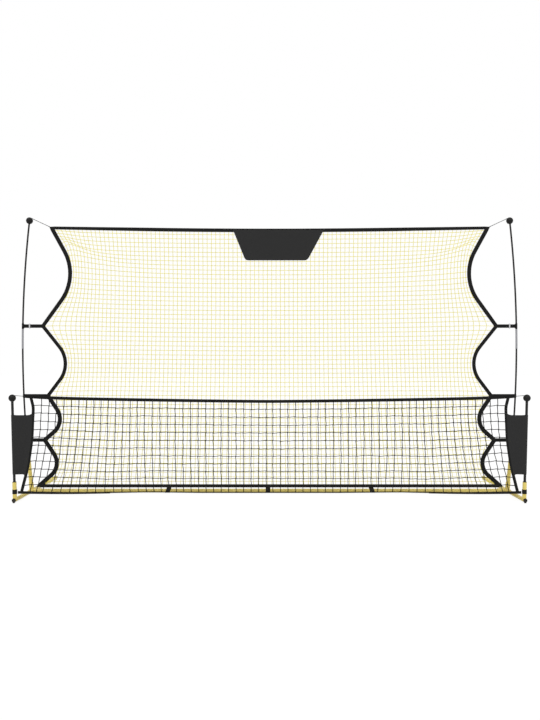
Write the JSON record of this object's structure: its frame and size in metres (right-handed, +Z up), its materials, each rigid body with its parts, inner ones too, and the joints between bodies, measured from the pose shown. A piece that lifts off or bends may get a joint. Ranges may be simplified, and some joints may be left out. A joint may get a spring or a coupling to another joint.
{
  "type": "pitch back rebounder",
  "caption": "Free-standing ball rebounder: a yellow tube base, flexible tall poles with a high fine net, and short front poles with a low coarse net.",
  "frame": {"origin": "on the ground, at the middle of the bounding box", "axes": "+X to the right along the crossbar, +Y away from the player, +Z up"},
  "size_m": [3.657, 1.014, 2.033],
  "materials": {
    "yellow_powder_coat": "yellow powder coat on steel tube, satin",
    "black_pole": "black resin-bonded glass fibre rod and black coated tube, satin",
    "black_moulding": "black moulded plastic",
    "button_steel": "zinc plated steel",
    "spring_steel": "spring steel strip",
    "ferrule_metal": "drawn metal tube, grey, satin",
    "slider_metal": "plated wire slider",
    "black_webbing": "black woven polyester webbing",
    "black_cloth": "black woven coated cloth",
    "elastic_cord": "dark grey braided elastic cord",
    "yellow_net": "pale yellow knotless fine netting",
    "black_net": "black twisted twine netting"
  },
  "bodies": {
    "frame": {"right_side_rail": "yellow_powder_coat", "left_side_rail": "yellow_powder_coat", "right_corner_fitting": "yellow_powder_coat", "left_corner_fitting": "yellow_powder_coat", "crossbar_centre": "yellow_powder_coat", "crossbar_right": "yellow_powder_coat", "crossbar_left": "yellow_powder_coat", "right_rear_socket": "yellow_powder_coat", "left_rear_socket": "yellow_powder_coat", "right_front_socket": "yellow_powder_coat", "left_front_socket": "yellow_powder_coat", "right_front_pole": "black_pole", "left_front_pole": "black_pole", "right_tall_pole_lower": "black_pole", "left_tall_pole_lower": "black_pole", "right_tall_pole_upper": "black_pole", "left_tall_pole_upper": "black_pole", "rail_end_caps": "black_moulding", "front_pole_bushes": "black_moulding", "rear_pole_bushes": "black_moulding", "right_front_pole_ball": "black_moulding", "left_front_pole_ball": "black_moulding", "right_tall_pole_ball": "black_moulding", "left_tall_pole_ball": "black_moulding", "button_springs": "spring_steel", "right_tall_pole_ferrule": "ferrule_metal", "left_tall_pole_ferrule": "ferrule_metal", "tall_net_top_webbing": "black_webbing", "tall_net_right_webbing": "black_webbing", "tall_net_bottom_webbing": "black_webbing", "tall_net_left_webbing": "black_webbing", "right_upper_strap": "black_webbing", "left_upper_strap": "black_webbing", "right_middle_strap": "black_webbing", "left_middle_strap": "black_webbing", "right_lower_strap": "black_webbing", "left_lower_strap": "black_webbing", "crossbar_tabs": "black_webbing", "front_net_top_webbing": "black_webbing", "front_net_hem": "black_webbing", "front_net_right_webbing": "black_webbing", "front_net_left_webbing": "black_webbing", "right_socket_strap": "black_webbing", "left_socket_strap": "black_webbing", "tall_net_patch": "black_cloth", "right_side_panel": "black_cloth", "left_side_panel": "black_cloth", "right_top_corner_cord": "elastic_cord", "left_top_corner_cord": "elastic_cord", "right_front_corner_cord": "elastic_cord", "left_front_corner_cord": "elastic_cord", "tall_net": "yellow_net", "front_net": "black_net"},
    "right_joint_button_body": {"right_joint_button": "button_steel"},
    "right_corner_button_body": {"right_corner_button": "button_steel"},
    "right_strap_slider_body": {"right_strap_slider": "slider_metal"},
    "left_joint_button_body": {"left_joint_button": "button_steel"},
    "left_corner_button_body": {"left_corner_button": "button_steel"},
    "left_strap_slider_body": {"left_strap_slider": "slider_metal"}
  },
  "joints": [
    {"name": "right_joint_button_press", "type": "slide", "parent": "frame", "child": "right_joint_button_body", "axis": [0, -1, 0], "range_m": [0, 0.0054], "stiffness_N_per_m": 900, "springref_m": -0.003, "deforming": ["button_springs"]},
    {"name": "right_corner_button_press", "type": "slide", "parent": "frame", "child": "right_corner_button_body", "axis": [0, -1, 0], "range_m": [0, 0.0069], "stiffness_N_per_m": 900, "springref_m": -0.003, "deforming": ["button_springs"]},
    {"name": "right_strap_slide", "type": "slide", "parent": "frame", "child": "right_strap_slider_body", "axis": [-1, 0, 0], "range_m": [-0.03, 0.055]},
    {"name": "left_joint_button_press", "type": "slide", "parent": "frame", "child": "left_joint_button_body", "axis": [0, -1, 0], "range_m": [0, 0.0054], "stiffness_N_per_m": 900, "springref_m": -0.003, "deforming": ["button_springs"]},
    {"name": "left_corner_button_press", "type": "slide", "parent": "frame", "child": "left_corner_button_body", "axis": [0, -1, 0], "range_m": [0, 0.0069], "stiffness_N_per_m": 900, "springref_m": -0.003, "deforming": ["button_springs"]},
    {"name": "left_strap_slide", "type": "slide", "parent": "frame", "child": "left_strap_slider_body", "axis": [1, 0, 0], "range_m": [-0.03, 0.055]}
  ]
}
